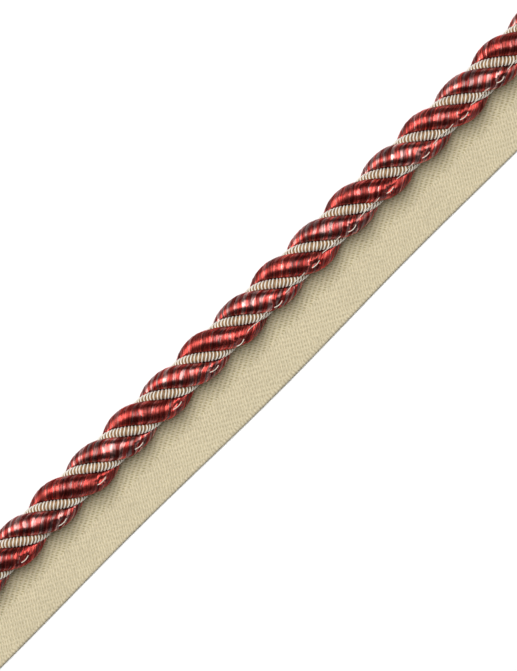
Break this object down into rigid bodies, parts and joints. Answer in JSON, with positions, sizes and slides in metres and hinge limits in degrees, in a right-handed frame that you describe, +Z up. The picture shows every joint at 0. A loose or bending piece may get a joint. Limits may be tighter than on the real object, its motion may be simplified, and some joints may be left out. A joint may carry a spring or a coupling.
{
  "type": "twisted cord trim with tape",
  "caption": "Twisted decorative cord of thick floss-covered and thin ribbed strands, sewn along the edge of a flat herringbone tape for setting into a seam.",
  "frame": {"origin": "middle of the underside of the trim's box, on the surface that the tape lies on", "axes": "+X along the trim, +Y from the tape's free edge towards the cord, +Z up off the tape"},
  "size_m": [0.2, 0.022, 0.0113],
  "materials": {
    "plain_floss": "lustrous red floss wound round the strand, thread beside thread",
    "striped_floss": "lustrous floss wound in bands of red and pale pink",
    "ribbed_gimp": "cream cord wound in open ribs over gold-tan yarn",
    "herringbone_cotton": "matt beige cotton in herringbone twill"
  },
  "bodies": {
    "root": {"plain_strand": "plain_floss", "striped_strand": "striped_floss", "ribbed_strand_a": "ribbed_gimp", "ribbed_strand_b": "ribbed_gimp", "tape": "herringbone_cotton"}
  },
  "joints": []
}
